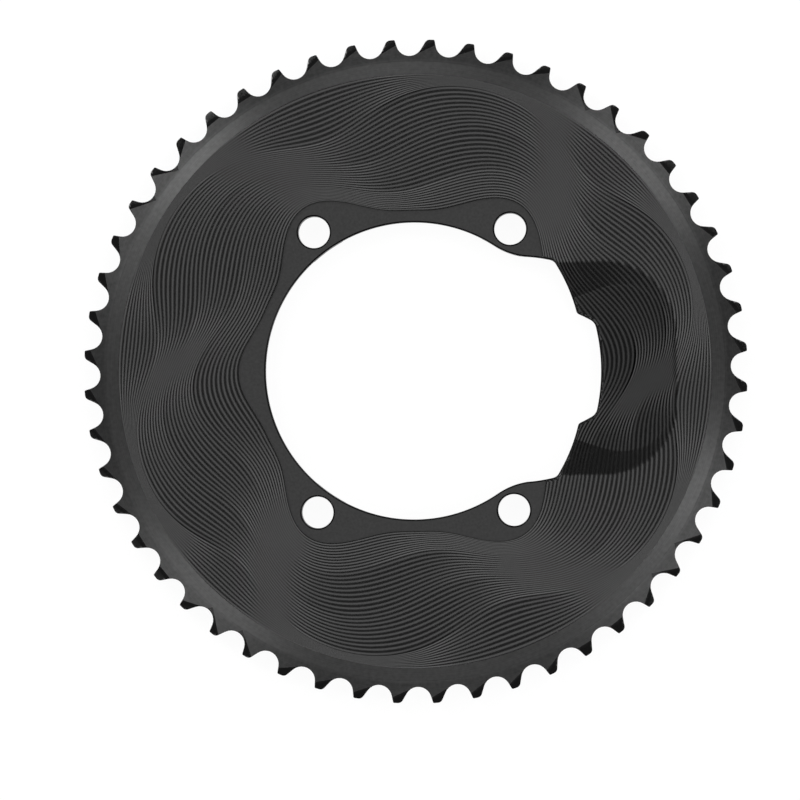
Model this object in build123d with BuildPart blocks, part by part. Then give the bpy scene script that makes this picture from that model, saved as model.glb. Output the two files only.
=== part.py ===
from build123d import *
import os
from math import acos, atan2, cos, degrees, pi, radians, sin, sqrt, tan

# Aero outer chainring for a road double crankset: one milled ring and its pressed shift pins.
# The ring turns about Z. The origin is on that axis, in the plane of the bolt pads' backs.
# +Z is the outer face, and +X is the side where the crank arm passes.

# Teeth and chain
tooth_count = 52
chain_pitch = 12.7
roller_diameter = 7.75
seat_radius = 4.3
tip_rise = 1.5
drive_flank = 73
coast_flank = 59
tip_land = 1.75
tip_chamfer = 1.0
tooth_thickness = 2.1

# Tip bevels on the outer face: each starts on a line a drop below the tip, leaning from the tangent
gate_count = 4
bevel_slope = 18
bevel_reach = 6
coast_bevel_drop = 1.6
coast_bevel_lean = -34
coast_bevel_width = 7.6
gate_bevel_drop = 2.9
gate_bevel_width = 9
gate_teeth = (4, 5)
drive_bevel_drop = 1.3
drive_bevel_lean = 41
drive_bevel_width = 12
drive_teeth = (7, 8)
back_bevel_drop = 2.2
back_bevel_width = 9

# Section of the ring
pad_height = 1.4
pad_radius = 9.2
land_drop = 0.35
rim_land = 1.75
band_width = 4.25
band_rise = 0.8

# Bolts
bolt_circle = 110
bolt_angle = 55
bolt_hole = 10.2

# Central opening, with its notch for the crank arm
bolt_wall = 2.2
neck_lean = 8
neck_round = 23
horn_reach = 2.3
horn_angle = 37.3
horn_round = 3.0
heel_reach = 0.5
heel_angle = 18.5
heel_round = 1.5
notch_reach = 5
notch_angle = 14.3
notch_round = 3.5

# Crank arm pocket: a sloping floor between two gentle walls, sized at the height where the floor ends
pocket_reach = 82.8
pocket_half_width = 32.8
pocket_corner = 22
pocket_end_depth = 0.2
pocket_floor_slope = 2.8
pocket_wall_slope = 8.5

# Milled waves, in tracks from the edge of the bolt land out to the rim
track_count = 4
wave_count = 6
wave_depth = 9.8
wave_depth_dip = 2.3
track_spacing = 11.0
rim_gap = 2.7
first_turn = 4.7
track_twist = 7.5
land_waist = 3.5
land_margin = 6.3
land_crest_dip = 4.9
land_sharpness = 1.5
grooves_per_track = 2
groove_share = 0.12
groove_depth = 0.25
points_per_wave = 10

# Shift gates on the inner face
pin_diameter = 4.0
pin_stand = 0.9
pin_seat = 1.2
pin_inset = 5.2
pin_fit = 0.01
pin_lead = 3.0
ramp_length = 17
ramp_width = 11
ramp_slope = 3.0
ramp_inset = 8.5

# Radii and heights that follow from the sizes above
tooth_step = 360 / tooth_count
gate_step = 360 / gate_count
gate_span = tooth_count // gate_count
gate_angle = max(drive_teeth) * tooth_step
pitch_radius = chain_pitch / (2 * sin(pi / tooth_count))
root_radius = pitch_radius - roller_diameter / 2
tip_radius = pitch_radius + tip_rise
band_outer = root_radius - rim_land
band_inner = band_outer - band_width
web_back = pad_height
tooth_front = web_back + tooth_thickness
web_front = tooth_front + band_rise
bolt_radius = bolt_circle / 2
opening_radius = bolt_radius - bolt_hole / 2 - bolt_wall
horn_radius = bolt_radius + horn_reach
heel_radius = bolt_radius + heel_reach
notch_radius = bolt_radius + notch_reach
land_trough = bolt_radius - land_waist
land_crest = bolt_radius + land_margin
blank_bore = opening_radius / 2
blank_radius = tip_radius + tip_rise
blank_height = 2 * web_front


def turned(across, out, angle):
    """Point given along the tangent and out from the axis, turned about the axis to an angle."""
    turn = radians(angle)
    return Vector(out * cos(turn) - across * sin(turn), out * sin(turn) + across * cos(turn))


def polar(radius, angle):
    """Point at a radius and an angle."""
    return turned(0, radius, angle)


# Tooth gap on +X: a roller seat between two straight flanks tangent to it, and a chamfered tip


def flank(slope, side, radius):
    """Foot of a flank on the roller seat, and the point where its straight meets a circle about the axis."""
    rise = radians(slope)
    foot = Vector(root_radius + seat_radius * (1 - cos(rise)), side * seat_radius * sin(rise))
    along = Vector(sin(rise), side * cos(rise))
    half = foot.dot(along)
    return foot, foot + along * (sqrt(half * half - foot.dot(foot) + radius * radius) - half)


drive_foot, drive_tip = flank(drive_flank, 1, tip_radius)
coast_foot, coast_top = flank(coast_flank, -1, tip_radius - tip_chamfer)
land_turn = degrees(tip_land / tip_radius)
with BuildLine() as gap_outline:
    Line(coast_top, coast_foot)
    TangentArc(coast_foot, drive_foot, tangent=coast_foot - coast_top)
    Polyline(
        drive_foot,
        drive_tip,
        drive_tip.rotate(Axis.Z, land_turn),
        coast_top.rotate(Axis.Z, tooth_step),
    )


def bevel_plane(number, drop, lean, height, facing):
    """Plane of a tooth's tip bevel on a face, falling away outwards from a line across the tooth."""
    angle = (number + 0.5) * tooth_step
    foot = polar(tip_radius - drop, angle) + Vector(0, 0, height)
    across = turned(cos(radians(lean)), sin(radians(lean)), angle)
    outwards = turned(-sin(radians(lean)), cos(radians(lean)), angle)
    fall = radians(bevel_slope)
    normal = outwards * sin(fall) + Vector(0, 0, facing * cos(fall))
    return Plane(origin=foot, x_dir=across, z_dir=normal)


def front_bevels(kind, drop, lean):
    """Outer bevel planes of all the teeth of one kind, which come round once for each gate."""
    numbers = [number for number in range(tooth_count) if tooth_kind(number % gate_span) == kind]
    return [bevel_plane(number, drop, lean, tooth_front, 1) for number in numbers]


def tooth_kind(place):
    """Kind of a tooth from its place in the run of teeth between two gates."""
    if place in gate_teeth:
        return "gate"
    return "drive" if place in drive_teeth else "coast"


# Wave lines: the crests are drawn towards the bolts, and each track is turned on from the one inside it
crest_pull = (360 - wave_count * bolt_angle) / sin(radians(2 * bolt_angle))


def crest(angle):
    """Height of the waves at an angle, from 0 in a trough to 1 on a crest."""
    return (1 + cos(radians(wave_count * angle + crest_pull * sin(radians(2 * angle))))) / 2


def track(number, angle):
    """Radius of a wave track: 0 edges the bolt land, the last is the rim, and the others cross the web."""
    if number == 0:
        rise = land_crest - land_crest_dip * cos(radians(2 * angle)) - land_trough
        return land_trough + rise * crest(angle) ** land_sharpness
    if number == track_count:
        return band_inner
    turn = angle - first_turn - (number - 1) * track_twist
    depth = wave_depth - wave_depth_dip * cos(radians(2 * turn))
    top = band_inner - rim_gap - (track_count - 1 - number) * track_spacing
    return top - depth * (1 - crest(turn))


def groove(place, angle):
    """Radius of the groove at a place between two tracks, so that 1.5 is halfway from track 1 to 2."""
    number = int(place)
    share = place - number
    return track(number, angle) * (1 - share) + track(number + 1, angle) * share


def wave_disc(place, height):
    """Sketch at a height of all that lies inside the line at a place between two tracks."""
    steps = wave_count * points_per_wave
    angles = [360 * step / steps for step in range(steps)]
    with BuildSketch(Plane.XY.offset(height)) as disc:
        with BuildLine():
            Polyline(*[polar(groove(place, angle), angle) for angle in angles], close=True)
        make_face()
    return disc.sketch


# Cutter of the flat land round the bolts
land_disc = wave_disc(0, web_front - land_drop)
with BuildPart() as land_cutter:
    extrude(land_disc, amount=blank_height)

# Cutter of the grooves, the outermost first: each is a disc less a slightly smaller one
groove_numbers = range(grooves_per_track, track_count * grooves_per_track)
groove_discs = []
for number in reversed(groove_numbers):
    place = number / grooves_per_track
    groove_discs.append((wave_disc(place + groove_share / 2, 0), wave_disc(place - groove_share / 2, 0)))

with BuildPart() as groove_cutter:
    with BuildSketch(Plane.XY.offset(web_front - groove_depth)):
        for outside, inside in groove_discs:
            add(outside)
            add(inside, mode=Mode.SUBTRACT)
    extrude(amount=blank_height)

# Pocket cutter: walls that widen upwards, trimmed below by the sloping floor
pocket_end_height = web_front - pocket_end_depth
horn_distance = horn_radius * cos(radians(horn_angle))
pocket_fall = (pocket_reach - horn_distance) * tan(radians(pocket_floor_slope))


def pocket_outline(rise):
    """Sketch of the pocket at a height above the end of its floor."""
    spread = rise / tan(radians(pocket_wall_slope))
    half = pocket_half_width + spread
    end = pocket_reach + spread
    with BuildSketch(Plane.XY.offset(pocket_end_height + rise)) as outline:
        with BuildLine():
            Polyline((blank_bore, -half), (end, -half), (end, half), (blank_bore, half), close=True)
        make_face()
        fillet(outline.vertices().group_by(Axis.X)[-1], pocket_corner + spread)
    return outline.sketch


floor_lean = radians(pocket_floor_slope)
pocket_floor = Plane(
    origin=(pocket_reach, 0, pocket_end_height),
    x_dir=(cos(floor_lean), 0, sin(floor_lean)),
    z_dir=(-sin(floor_lean), 0, cos(floor_lean)),
)
pocket_sections = [pocket_outline(-pocket_fall), pocket_outline(2 * pocket_end_depth)]
with BuildPart() as pocket_cutter:
    loft(pocket_sections, ruled=True)
    split(bisect_by=pocket_floor, keep=Keep.TOP)

# Corners of the opening's upper half: a leaning neck wall runs from the round part out to the horn
horn = polar(horn_radius, horn_angle)
heel = polar(heel_radius, heel_angle)
notch = polar(notch_radius, notch_angle)
neck_start = Vector(0, horn.Y + horn.X * tan(radians(neck_lean)))
neck_offset = neck_start.Y * cos(radians(neck_lean))
neck_turn = degrees(acos(neck_offset / opening_radius))
neck = polar(opening_radius, 90 - neck_lean - neck_turn)
horn_turn = degrees(atan2(horn.Y - heel.Y, heel.X - horn.X)) - neck_lean
horn_leg = horn_round * tan(radians(horn_turn / 2))
neck_limit = ((horn - neck).length - horn_leg) / tan(radians(neck_turn / 2))
opening_rounds = (
    (neck, min(neck_round, 0.9 * neck_limit)),
    (horn, horn_round),
    (heel, heel_round),
    (notch, notch_round),
)

# Chainring
bolt_angles = (bolt_angle, -bolt_angle, 180 + bolt_angle, 180 - bolt_angle)
bolt_points = [polar(bolt_radius, angle) for angle in bolt_angles]
pin_radius = root_radius - pin_inset
pin_angle = gate_angle + pin_lead * tooth_step

with BuildPart() as chainring:
    with BuildSketch(Plane.XZ):
        with BuildLine():
            Polyline(
                (blank_bore, web_back),
                (blank_radius, web_back),
                (blank_radius, tooth_front),
                (band_outer, tooth_front),
                (band_inner, web_front),
                (blank_bore, web_front),
                close=True,
            )
        make_face()
    revolve(axis=Axis.Z)

    # Toothed outline
    with BuildSketch():
        with BuildLine():
            with PolarLocations(0, tooth_count):
                add(gap_outline.line)
        make_face()
    extrude(amount=blank_height, mode=Mode.INTERSECT)

    # Tip bevels
    for planes, width in (
        (front_bevels("coast", coast_bevel_drop, coast_bevel_lean), coast_bevel_width),
        (front_bevels("gate", gate_bevel_drop, 0), gate_bevel_width),
        (front_bevels("drive", drive_bevel_drop, drive_bevel_lean), drive_bevel_width),
        ([bevel_plane(n, back_bevel_drop, 0, web_back, -1) for n in range(tooth_count)], back_bevel_width),
    ):
        with Locations(*planes):
            Box(
                width,
                2 * bevel_reach,
                bevel_reach,
                align=(Align.CENTER, Align.CENTER, Align.MIN),
                mode=Mode.SUBTRACT,
            )

    # Bolt pads, the flat land round them and the waves
    with Locations(*bolt_points):
        Cylinder(pad_radius, web_back, align=(Align.CENTER, Align.CENTER, Align.MIN))
    add(land_cutter.part, mode=Mode.SUBTRACT)
    add(groove_cutter.part, mode=Mode.SUBTRACT)
    add(pocket_cutter.part, mode=Mode.SUBTRACT)

    # Central opening
    with BuildSketch() as opening:
        Circle(opening_radius)
        with BuildLine():
            Polyline((0, 0), neck_start, horn, heel, notch)
            CenterArc((0, 0), notch_radius, 0, notch_angle)
            mirror(about=Plane.XZ)
        make_face()
        for corner, radius in opening_rounds:
            for side in (1, -1):
                spot = Vector(corner.X, side * corner.Y)
                fillet(opening.vertices().sort_by_distance(spot)[0], radius)
    extrude(amount=blank_height, mode=Mode.SUBTRACT)

    # Bolt holes
    with Locations(*bolt_points):
        Cylinder(bolt_hole / 2, blank_height, mode=Mode.SUBTRACT)

    # Shift ramps and blind pin holes on the inner face
    for gate in range(gate_count):
        angle = gate_angle + gate * gate_step
        lean = radians(ramp_slope)
        around = turned(1, 0, angle)
        ramp = Plane(
            origin=polar(root_radius - ramp_inset, angle) + Vector(0, 0, web_back),
            x_dir=around * cos(lean) + Vector(0, 0, sin(lean)),
            z_dir=around * sin(lean) - Vector(0, 0, cos(lean)),
        )
        with Locations(ramp):
            Box(
                ramp_length,
                ramp_width,
                web_back,
                align=(Align.MIN, Align.CENTER, Align.MIN),
                mode=Mode.SUBTRACT,
            )
    with BuildSketch(Plane.XY.offset(web_back)):
        with PolarLocations(pin_radius, gate_count, start_angle=pin_angle):
            Circle(pin_diameter / 2 + pin_fit)
    extrude(amount=pin_seat, mode=Mode.SUBTRACT)

# Shift pins
with BuildPart() as shift_pins:
    with BuildSketch(Plane.XY.offset(web_back - pin_stand)):
        with PolarLocations(pin_radius, gate_count, start_angle=pin_angle):
            Circle(pin_diameter / 2)
    extrude(amount=pin_stand + pin_seat)

chainring.part.label = "chainring"
shift_pins.part.label = "shift_pins"
os.makedirs("parts", exist_ok=True)
export_step(chainring.part, "parts/chainring.step")
export_step(shift_pins.part, "parts/shift_pins.step")
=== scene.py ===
"""Dressed model of an aero bicycle chainring: one milled, black anodised ring with four steel pins.

Lengths are in millimetres and angles in degrees until a mesh is written, which is in metres.
"""

import logging
import math
from dataclasses import dataclass, field
from enum import Enum

import bmesh
import bpy
import numpy as np
from mathutils import Matrix, Vector
from mathutils.geometry import delaunay_2d_cdt


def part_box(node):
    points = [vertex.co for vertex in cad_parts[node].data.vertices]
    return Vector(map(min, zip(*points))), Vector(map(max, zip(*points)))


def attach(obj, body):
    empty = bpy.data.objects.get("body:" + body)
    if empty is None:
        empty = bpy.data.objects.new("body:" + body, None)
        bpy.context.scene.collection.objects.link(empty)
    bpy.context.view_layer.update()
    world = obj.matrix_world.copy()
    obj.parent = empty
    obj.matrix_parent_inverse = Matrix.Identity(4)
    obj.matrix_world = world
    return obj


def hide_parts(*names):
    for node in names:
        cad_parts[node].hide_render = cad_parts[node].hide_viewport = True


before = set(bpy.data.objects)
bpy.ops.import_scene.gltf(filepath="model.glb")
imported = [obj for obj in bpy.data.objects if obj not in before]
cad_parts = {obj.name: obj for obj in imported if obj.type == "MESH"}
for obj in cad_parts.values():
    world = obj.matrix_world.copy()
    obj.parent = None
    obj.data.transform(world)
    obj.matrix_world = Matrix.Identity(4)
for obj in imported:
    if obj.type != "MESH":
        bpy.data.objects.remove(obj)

LOG = logging.getLogger("chainring")
MM = 0.001
BODY = "root"
# Mesh attribute of painted light and shade: painted highlight in the mill lines' valleys, painted shade on
# their cusps and in the pocket
PAINTED_TONE = "painted_light_and_shade"
IMAGE_SIDE = 800
# Kind of result asked of delaunay_2d_cdt: the triangles inside the edges
INSIDE_EDGES = 1

Colour = tuple[float, float, float]
Settings = dict[str, object]
Inputs = dict[str | int, object]


def sin(angle: np.ndarray | float) -> np.ndarray | float:
    """Sine of an angle in degrees."""
    return np.sin(np.radians(angle))


def cos(angle: np.ndarray | float) -> np.ndarray | float:
    """Cosine of an angle in degrees."""
    return np.cos(np.radians(angle))


def tan(angle: np.ndarray | float) -> np.ndarray | float:
    """Tangent of an angle in degrees."""
    return np.tan(np.radians(angle))


def polar(radius: np.ndarray | float, angle: np.ndarray | float) -> np.ndarray:
    """Points at a radius and an angle, as rows of x and y."""
    return np.stack([radius * cos(angle), radius * sin(angle)], axis=-1)


def bearing(points: np.ndarray) -> np.ndarray:
    """Angle of each point about the axis, from 0 to 360."""
    return np.degrees(np.arctan2(points[..., 1], points[..., 0])) % 360


def spin(points: np.ndarray, angle: float) -> np.ndarray:
    """Points turned about the axis."""
    return points @ np.array([[cos(angle), sin(angle)], [-sin(angle), cos(angle)]])


def arc(centre: np.ndarray, start: np.ndarray, end: np.ndarray, steps: int) -> np.ndarray:
    """Points of the shorter arc about a centre.

    Args:
        centre: Centre of the arc.
        start: First point of the arc.
        end: Last point of the arc.
        steps: Number of equal steps between them.

    Returns:
        The points as rows of x and y, both ends included.
    """
    first, last = start - centre, end - centre
    begin = math.degrees(math.atan2(first[1], first[0]))
    swing = (math.degrees(math.atan2(last[1], last[0])) - begin + 180) % 360 - 180
    return centre + polar(np.linalg.norm(first), begin + swing * np.linspace(0, 1, steps + 1))


def rounded(
    before: np.ndarray, corner: np.ndarray, after: np.ndarray, radius: float, steps: int
) -> np.ndarray:
    """Points of the arc that rounds a corner between two straights.

    Args:
        before: A point on the straight that comes in.
        corner: The sharp corner.
        after: A point on the straight that goes out.
        radius: Radius of the arc.
        steps: Number of steps along the arc.

    Returns:
        The arc's points as rows of x and y, in order.
    """
    into = (before - corner) / np.linalg.norm(before - corner)
    out = (after - corner) / np.linalg.norm(after - corner)
    half = math.acos(float(np.clip(into @ out, -1, 1))) / 2
    leg = radius / math.tan(half)
    middle = (into + out) / np.linalg.norm(into + out)
    return arc(corner + middle * radius / math.sin(half), corner + into * leg, corner + out * leg, steps)


def inside(points: np.ndarray, loop: np.ndarray) -> np.ndarray:
    """Whether points lie inside a closed loop.

    Args:
        points: Rows of x and y.
        loop: Corners of the loop, as rows of x and y.

    Returns:
        One truth value a point.
    """
    result = np.zeros(len(points), dtype=bool)
    for (ax, ay), (bx, by) in zip(loop, np.roll(loop, -1, axis=0)):
        if ay == by:
            continue
        spans = (ay > points[:, 1]) != (by > points[:, 1])
        result ^= spans & (points[:, 0] < ax + (points[:, 1] - ay) / (by - ay) * (bx - ax))
    return result


class Zone(Enum):
    """Finishes of the ring, in the order of its material slots."""

    MILLED = 0
    # Turned rim, coloured lighter as painted highlight
    TURNED = 1
    PLAIN = 2
    # Tip bevels, side walls and back edges, coloured darker as painted shade
    BEVELLED = 3
    LAND = 4
    # Broken edges on the outer face, coloured near black as painted shade
    EDGE = 5


class Edge(Enum):
    """How the shading runs across a row of points."""

    BY_ANGLE = 0
    SHARP = 1
    SMOOTH = -1


class Sock:
    """A value in a node tree. Arithmetic on it adds Math nodes."""

    def __init__(self, shader: "Shader", socket: bpy.types.NodeSocket) -> None:
        """Wraps a node's output socket."""
        self.shader = shader
        self.socket = socket

    def math(self, operation: str, *values: "Sock | float") -> "Sock":
        """Adds a Math node.

        Args:
            operation: The node's operation.
            values: Its values in order.

        Returns:
            The node's result.
        """
        node = self.shader.node("ShaderNodeMath", {"operation": operation}, dict(enumerate(values)))
        return Sock(self.shader, node.outputs[0])

    def __add__(self, other: "Sock | float") -> "Sock":
        """Sum."""
        return self.math("ADD", self, other)

    __radd__ = __add__

    def __sub__(self, other: "Sock | float") -> "Sock":
        """Difference."""
        return self.math("SUBTRACT", self, other)

    def __rsub__(self, other: "Sock | float") -> "Sock":
        """Difference from a number."""
        return self.math("SUBTRACT", other, self)

    def __mul__(self, other: "Sock | float") -> "Sock":
        """Product."""
        return self.math("MULTIPLY", self, other)

    __rmul__ = __mul__

    def __pow__(self, other: "Sock | float") -> "Sock":
        """Power."""
        return self.math("POWER", self, other)

    def __rpow__(self, other: "Sock | float") -> "Sock":
        """Power of a number."""
        return self.math("POWER", other, self)

    def larger(self, other: "Sock | float") -> "Sock":
        """The larger of two values."""
        return self.math("MAXIMUM", self, other)


class Shader:
    """The node tree of a material or of the world."""

    # Numbers of the sockets that a Mix node uses for colours
    MIX_SHARE, MIX_FIRST, MIX_SECOND, MIX_RESULT = 0, 6, 7, 2

    def __init__(self, owner: bpy.types.Material | bpy.types.World) -> None:
        """Empties the owner's node tree.

        Args:
            owner: The material or world.
        """
        owner.use_nodes = True
        self.tree = owner.node_tree
        self.tree.nodes.clear()

    def node(self, kind: str, settings: Settings, inputs: Inputs) -> bpy.types.Node:
        """Adds a node.

        Args:
            kind: The node's type.
            settings: Its properties, which are set first.
            inputs: Values or links of its sockets, by name or number.

        Returns:
            The node.
        """
        node = self.tree.nodes.new(kind)
        for name, value in settings.items():
            setattr(node, name, value)
        for name, value in inputs.items():
            if isinstance(value, Sock):
                self.tree.links.new(value.socket, node.inputs[name])
            elif isinstance(value, bpy.types.NodeSocket):
                self.tree.links.new(value, node.inputs[name])
            else:
                node.inputs[name].default_value = value
        return node

    def value(self, kind: str, settings: Settings, inputs: Inputs, output: str) -> Sock:
        """Adds a node and wraps one of its outputs."""
        return Sock(self, self.node(kind, settings, inputs).outputs[output])

    def noise(self, scale: float, detail: float, where: bpy.types.NodeSocket) -> Sock:
        """Value from 0 to 1 of a cloudy noise, with its scale in turns a metre."""
        inputs = {"Vector": where, "Scale": scale, "Detail": detail}
        return self.value("ShaderNodeTexNoise", {}, inputs, "Fac")

    def rays(self, *kinds: str) -> Sock:
        """Tells rays of some kinds from others.

        Args:
            kinds: Names of the kinds, as Light Path has them.

        Returns:
            1 for rays of any of these kinds, and 0 for others.
        """
        path = self.node("ShaderNodeLightPath", {}, {})
        chosen = Sock(self, path.outputs[kinds[0]])
        for kind in kinds[1:]:
            chosen = chosen.larger(Sock(self, path.outputs[kind]))
        return chosen

    def tint(self, dark: Colour, light: Colour, share: Sock) -> Sock:
        """Colour between two colours.

        Args:
            dark: Colour where the share is 0.
            light: Colour where the share is 1.
            share: Place between the two.

        Returns:
            The colour.
        """
        inputs = {self.MIX_SHARE: share, self.MIX_FIRST: (*dark, 1.0), self.MIX_SECOND: (*light, 1.0)}
        node = self.node("ShaderNodeMix", {"data_type": "RGBA"}, inputs)
        return Sock(self, node.outputs[self.MIX_RESULT])

    def surface(self, shader: bpy.types.NodeSocket, output: str = "ShaderNodeOutputMaterial") -> None:
        """Links a shader to the tree's output."""
        self.node(output, {}, {"Surface": shader})


@dataclass(frozen=True)
class AnodisedFinish:
    """Black anodised aluminium. Its grain changes the colour and the roughness a little. Its colour can also
    carry painted shade and highlight along the mill lines and in the pocket, and a painted highlight that
    fades across a radius.
    """

    name: str
    colour: Colour = (0.050, 0.050, 0.050)
    variation: float = 0.20
    roughness: float = 0.24
    roughness_spread: float = 0.10
    grain: float = 1800.0
    grain_detail: float = 4.0
    glance: float = 0.5
    anisotropy: float = 0.0
    anisotropy_turn: float = 0.0
    ring_pitch: float = 0.0
    ring_share: float = 0.3
    ring_detail: float = 1.0
    painted_shading_contrast: float = 0.0
    painted_highlight_fade: float = 0.0
    painted_fade_start: float = 0.0
    painted_fade_end: float = 0.0

    @property
    def spread(self) -> float:
        """Largest share by which the colour gets lighter or darker."""
        return self.variation + self.painted_shading_contrast + self.painted_highlight_fade

    def material(self) -> bpy.types.Material:
        """Makes the material.

        Returns:
            The new material.
        """
        made = bpy.data.materials.new(self.name)
        shader = Shader(made)
        place = shader.node("ShaderNodeTexCoord", {}, {}).outputs["Object"]
        mottle = shader.noise(self.grain, self.grain_detail, place)
        if self.ring_pitch:
            mottle = (1 - self.ring_share) * mottle + self.ring_share * self.rings(shader, place)
        dark = tuple(channel * (1 - self.spread) for channel in self.colour)
        light = tuple(channel * (1 + self.spread) for channel in self.colour)
        inputs = {
            "Base Color": shader.tint(dark, light, self.lightness(shader, place, mottle)),
            "Roughness": self.roughness + self.roughness_spread * (mottle - 0.5),
            "Metallic": 1.0,
            "Specular Tint": (self.glance, self.glance, self.glance, 1.0),
            "Anisotropic": self.anisotropy,
            "Anisotropic Rotation": self.anisotropy_turn,
        }
        shader.surface(shader.node("ShaderNodeBsdfPrincipled", {}, inputs).outputs["BSDF"])
        return made

    def lightness(self, shader: Shader, place: bpy.types.NodeSocket, mottle: Sock) -> Sock:
        """Place between the darkest and the lightest colour, from the grain, the painted shade and highlight
        of the mill lines and the pocket, and the painted highlight fade.

        Args:
            shader: The tree to add to.
            place: Place on the ring.
            mottle: Grain, from 0 to 1.

        Returns:
            Value from 0, which is the darkest, to 1.
        """
        share = 0.5 + (mottle - 0.5) * (self.variation / self.spread)
        # Painted light and shade from the mesh attribute: painted highlight in the mill lines' valleys,
        # painted shade on their cusps and in the pocket
        if self.painted_shading_contrast:
            tone = shader.value("ShaderNodeAttribute", {"attribute_name": PAINTED_TONE}, {}, "Fac")
            share = share + tone * (self.painted_shading_contrast / self.spread / 2)
        # Painted highlight that fades across a radius: lighter inside the fade's end, darker past its start
        if self.painted_highlight_fade:
            inputs = {
                "Value": self.radius(shader, place),
                "From Min": self.painted_fade_start * MM,
                "From Max": self.painted_fade_end * MM,
            }
            out = shader.value("ShaderNodeMapRange", {}, inputs, "Result")
            share = share + (out - 0.5) * (self.painted_highlight_fade / self.spread)
        return share

    def radius(self, shader: Shader, place: bpy.types.NodeSocket) -> Sock:
        """Distance from the ring's axis.

        Args:
            shader: The tree to add to.
            place: Place on the ring.

        Returns:
            The distance in metres.
        """
        split = shader.node("ShaderNodeSeparateXYZ", {}, {"Vector": place})
        across, along = Sock(shader, split.outputs["X"]), Sock(shader, split.outputs["Y"])
        return (across * across + along * along) ** 0.5

    def rings(self, shader: Shader, place: bpy.types.NodeSocket) -> Sock:
        """Noise that changes from one turned ring to the next.

        Args:
            shader: The tree to add to.
            place: Place on the ring.

        Returns:
            Value from 0 to 1.
        """
        pitch, where = self.ring_pitch * MM, self.radius(shader, place)
        inputs = {"W": where, "Scale": 1 / pitch, "Detail": self.ring_detail}
        return shader.value("ShaderNodeTexNoise", {"noise_dimensions": "1D"}, inputs, "Fac")


@dataclass(frozen=True)
class SteelFinish:
    """Bright turned steel of the shift pins."""

    name: str = "bright_pin_steel"
    dark: Colour = (0.44, 0.44, 0.45)
    light: Colour = (0.60, 0.60, 0.61)
    roughness: float = 0.28
    roughness_spread: float = 0.12
    grain: float = 6000.0
    grain_detail: float = 2.0

    def material(self) -> bpy.types.Material:
        """Makes the material.

        Returns:
            The new material.
        """
        made = bpy.data.materials.new(self.name)
        shader = Shader(made)
        place = shader.node("ShaderNodeTexCoord", {}, {}).outputs["Object"]
        mottle = shader.noise(self.grain, self.grain_detail, place)
        inputs = {
            "Base Color": shader.tint(self.dark, self.light, mottle),
            "Roughness": self.roughness + self.roughness_spread * (mottle - 0.5),
            "Metallic": 1.0,
        }
        shader.surface(shader.node("ShaderNodeBsdfPrincipled", {}, inputs).outputs["BSDF"])
        return made


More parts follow.
